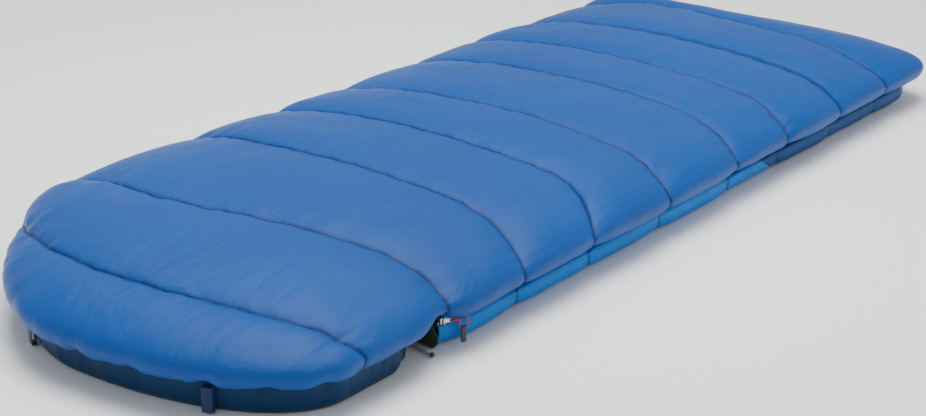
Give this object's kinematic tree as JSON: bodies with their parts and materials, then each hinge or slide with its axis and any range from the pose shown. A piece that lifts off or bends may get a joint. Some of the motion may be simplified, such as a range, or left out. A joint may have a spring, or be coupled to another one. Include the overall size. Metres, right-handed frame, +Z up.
{
  "type": "camp quilt",
  "caption": "Hooded camp quilt: two padded halves sewn along one side and zipped around the other side and foot, laid face down with its drawcord hood turned under.",
  "frame": {"origin": "on the ground under the middle of the quilt", "axes": "+X from the head towards the foot, -Y towards the zip side, +Z up"},
  "size_m": [2.254, 0.906, 0.166],
  "materials": {
    "dark_blue_shell": "satin nylon",
    "shaded_blue_shell": "satin nylon",
    "light_blue_shell": "satin nylon",
    "green_lining": "soft nylon lining",
    "wadding": "lofted fibre fill",
    "zip_tape": "woven tape",
    "zip_coil": "moulded nylon",
    "bright_metal": "die cast, polished",
    "red_trim": "moulded and woven red trim",
    "grip_grey": "soft moulded grip",
    "drawcord": "round elastic cord"
  },
  "bodies": {
    "front_half": {"front_shell_panel": "light_blue_shell", "front_foot_panel": "dark_blue_shell", "front_lining": "green_lining", "front_wadding_01": "wadding", "front_wadding_02": "wadding", "front_wadding_03": "wadding", "front_wadding_04": "wadding", "front_wadding_05": "wadding", "front_wadding_06": "wadding", "front_wadding_07": "wadding", "front_wadding_08": "wadding", "neck_binding": "dark_blue_shell", "fold_gusset": "dark_blue_shell", "front_zip_tape": "zip_tape", "front_zip_coil": "zip_coil", "zip_stop": "bright_metal"},
    "back_half": {"back_shell": "dark_blue_shell", "back_lining": "green_lining", "back_wadding_01": "wadding", "back_wadding_02": "wadding", "back_wadding_03": "wadding", "back_wadding_04": "wadding", "back_wadding_05": "wadding", "back_wadding_06": "wadding", "back_wadding_07": "wadding", "back_wadding_08": "wadding", "back_wadding_09": "wadding", "back_wadding_10": "wadding", "hood_rim_cover": "shaded_blue_shell", "hood_rim_padding": "wadding", "drawcord_tunnel": "green_lining", "hood_drawcord": "drawcord", "drawcord_tail": "drawcord", "drawcord_end_bead": "grip_grey", "cord_lock_barrel": "grip_grey", "cord_lock_spring": "bright_metal", "draft_tube": "green_lining", "back_zip_tape": "zip_tape", "back_zip_coil": "zip_coil"},
    "slider": {"zip_slider": "bright_metal"},
    "pull": {"pull_tab": "bright_metal", "pull_strap": "red_trim", "pull_ring": "red_trim"},
    "grip": {"pull_grip": "grip_grey"},
    "lock_plunger": {"cord_lock_plunger": "red_trim"},
    "loop_zip_side": {"hang_loop_zip_side": "dark_blue_shell"},
    "loop_fold_side": {"hang_loop_fold_side": "dark_blue_shell"}
  },
  "joints": [
    {"name": "quilt_open", "type": "hinge", "parent": "front_half", "child": "back_half", "pos_m": [0, 0.454, 0.084], "axis": [-1, 0, 0], "range_deg": [0, 180]},
    {"name": "slider_travel", "type": "slide", "parent": "front_half", "child": "slider", "axis": [1, 0, 0], "range_m": [0, 1.6]},
    {"name": "pull_swing", "type": "hinge", "parent": "slider", "child": "pull", "pos_m": [-0.656, -0.4082, 0.049], "axis": [0, 0, -1], "range_deg": [0, 98]},
    {"name": "grip_swing", "type": "hinge", "parent": "pull", "child": "grip", "pos_m": [-0.62694, -0.42497, 0.0325], "axis": [-0.866, 0.5, 0], "range_deg": [0, 100]},
    {"name": "loop_swing_zip_side", "type": "hinge", "parent": "back_half", "child": "loop_zip_side", "pos_m": [-1.04115, -0.27457, 0.045], "axis": [-0.3812, 0.9245, 0], "range_deg": [0, 90]},
    {"name": "loop_swing_fold_side", "type": "hinge", "parent": "back_half", "child": "loop_fold_side", "pos_m": [-1.05922, 0.10574, 0.045], "axis": [0.4049, 0.9144, 0], "range_deg": [0, 90]},
    {"name": "cord_lock_press", "type": "slide", "parent": "back_half", "child": "lock_plunger", "axis": [0, 0, -1], "range_m": [0, 0.0035], "stiffness_N_per_m": 400, "springref_m": -0.004, "deforming": ["cord_lock_spring"]}
  ]
}
